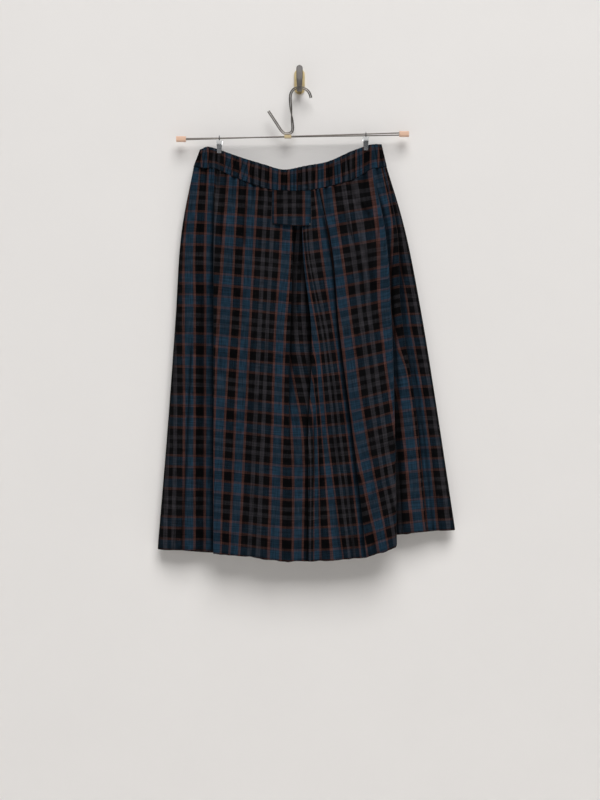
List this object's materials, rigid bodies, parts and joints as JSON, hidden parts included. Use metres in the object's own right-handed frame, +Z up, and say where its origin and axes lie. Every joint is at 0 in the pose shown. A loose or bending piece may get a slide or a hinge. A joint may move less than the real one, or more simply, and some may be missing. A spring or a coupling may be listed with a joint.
{
  "type": "plaid skirt on a clip hanger",
  "caption": "Gathered plaid midi skirt with a box pleat, hung by pinch clips from a wire hanger on a wall hook.",
  "frame": {"origin": "middle of the wall hook's plate, on its back face, where it meets the wall", "axes": "+X to the viewer's right when the skirt's front is looked at, +Y into the wall, +Z up"},
  "size_m": [0.561, 0.0771, 0.9275],
  "materials": {
    "skirt_cloth": "woven check of teal, rust, black and grey",
    "band_cloth": "woven check, gathered over an elastic",
    "patch_cloth": "woven check",
    "wire": "drawn wire",
    "chrome": "bright",
    "end_cap": "smooth",
    "tie_brass": "dull",
    "plate_brass": "polished",
    "prong_metal": "fine knurl"
  },
  "bodies": {
    "root": {"waistband": "band_cloth", "front_panel": "skirt_cloth", "back_panel": "skirt_cloth", "waist_patch": "patch_cloth", "rod_front": "wire", "rod_back": "wire", "cap_left": "end_cap", "cap_right": "end_cap", "hook_wire_inner": "wire", "hook_wire_outer": "wire", "hook_tie": "tie_brass", "clip_left_front_leaf": "chrome", "clip_left_back_leaf": "chrome", "clip_left_ring": "chrome", "clip_left_axle": "chrome", "clip_right_front_leaf": "chrome", "clip_right_back_leaf": "chrome", "clip_right_ring": "chrome", "clip_right_axle": "chrome", "wall_plate": "plate_brass", "wall_prong": "prong_metal"}
  },
  "joints": []
}
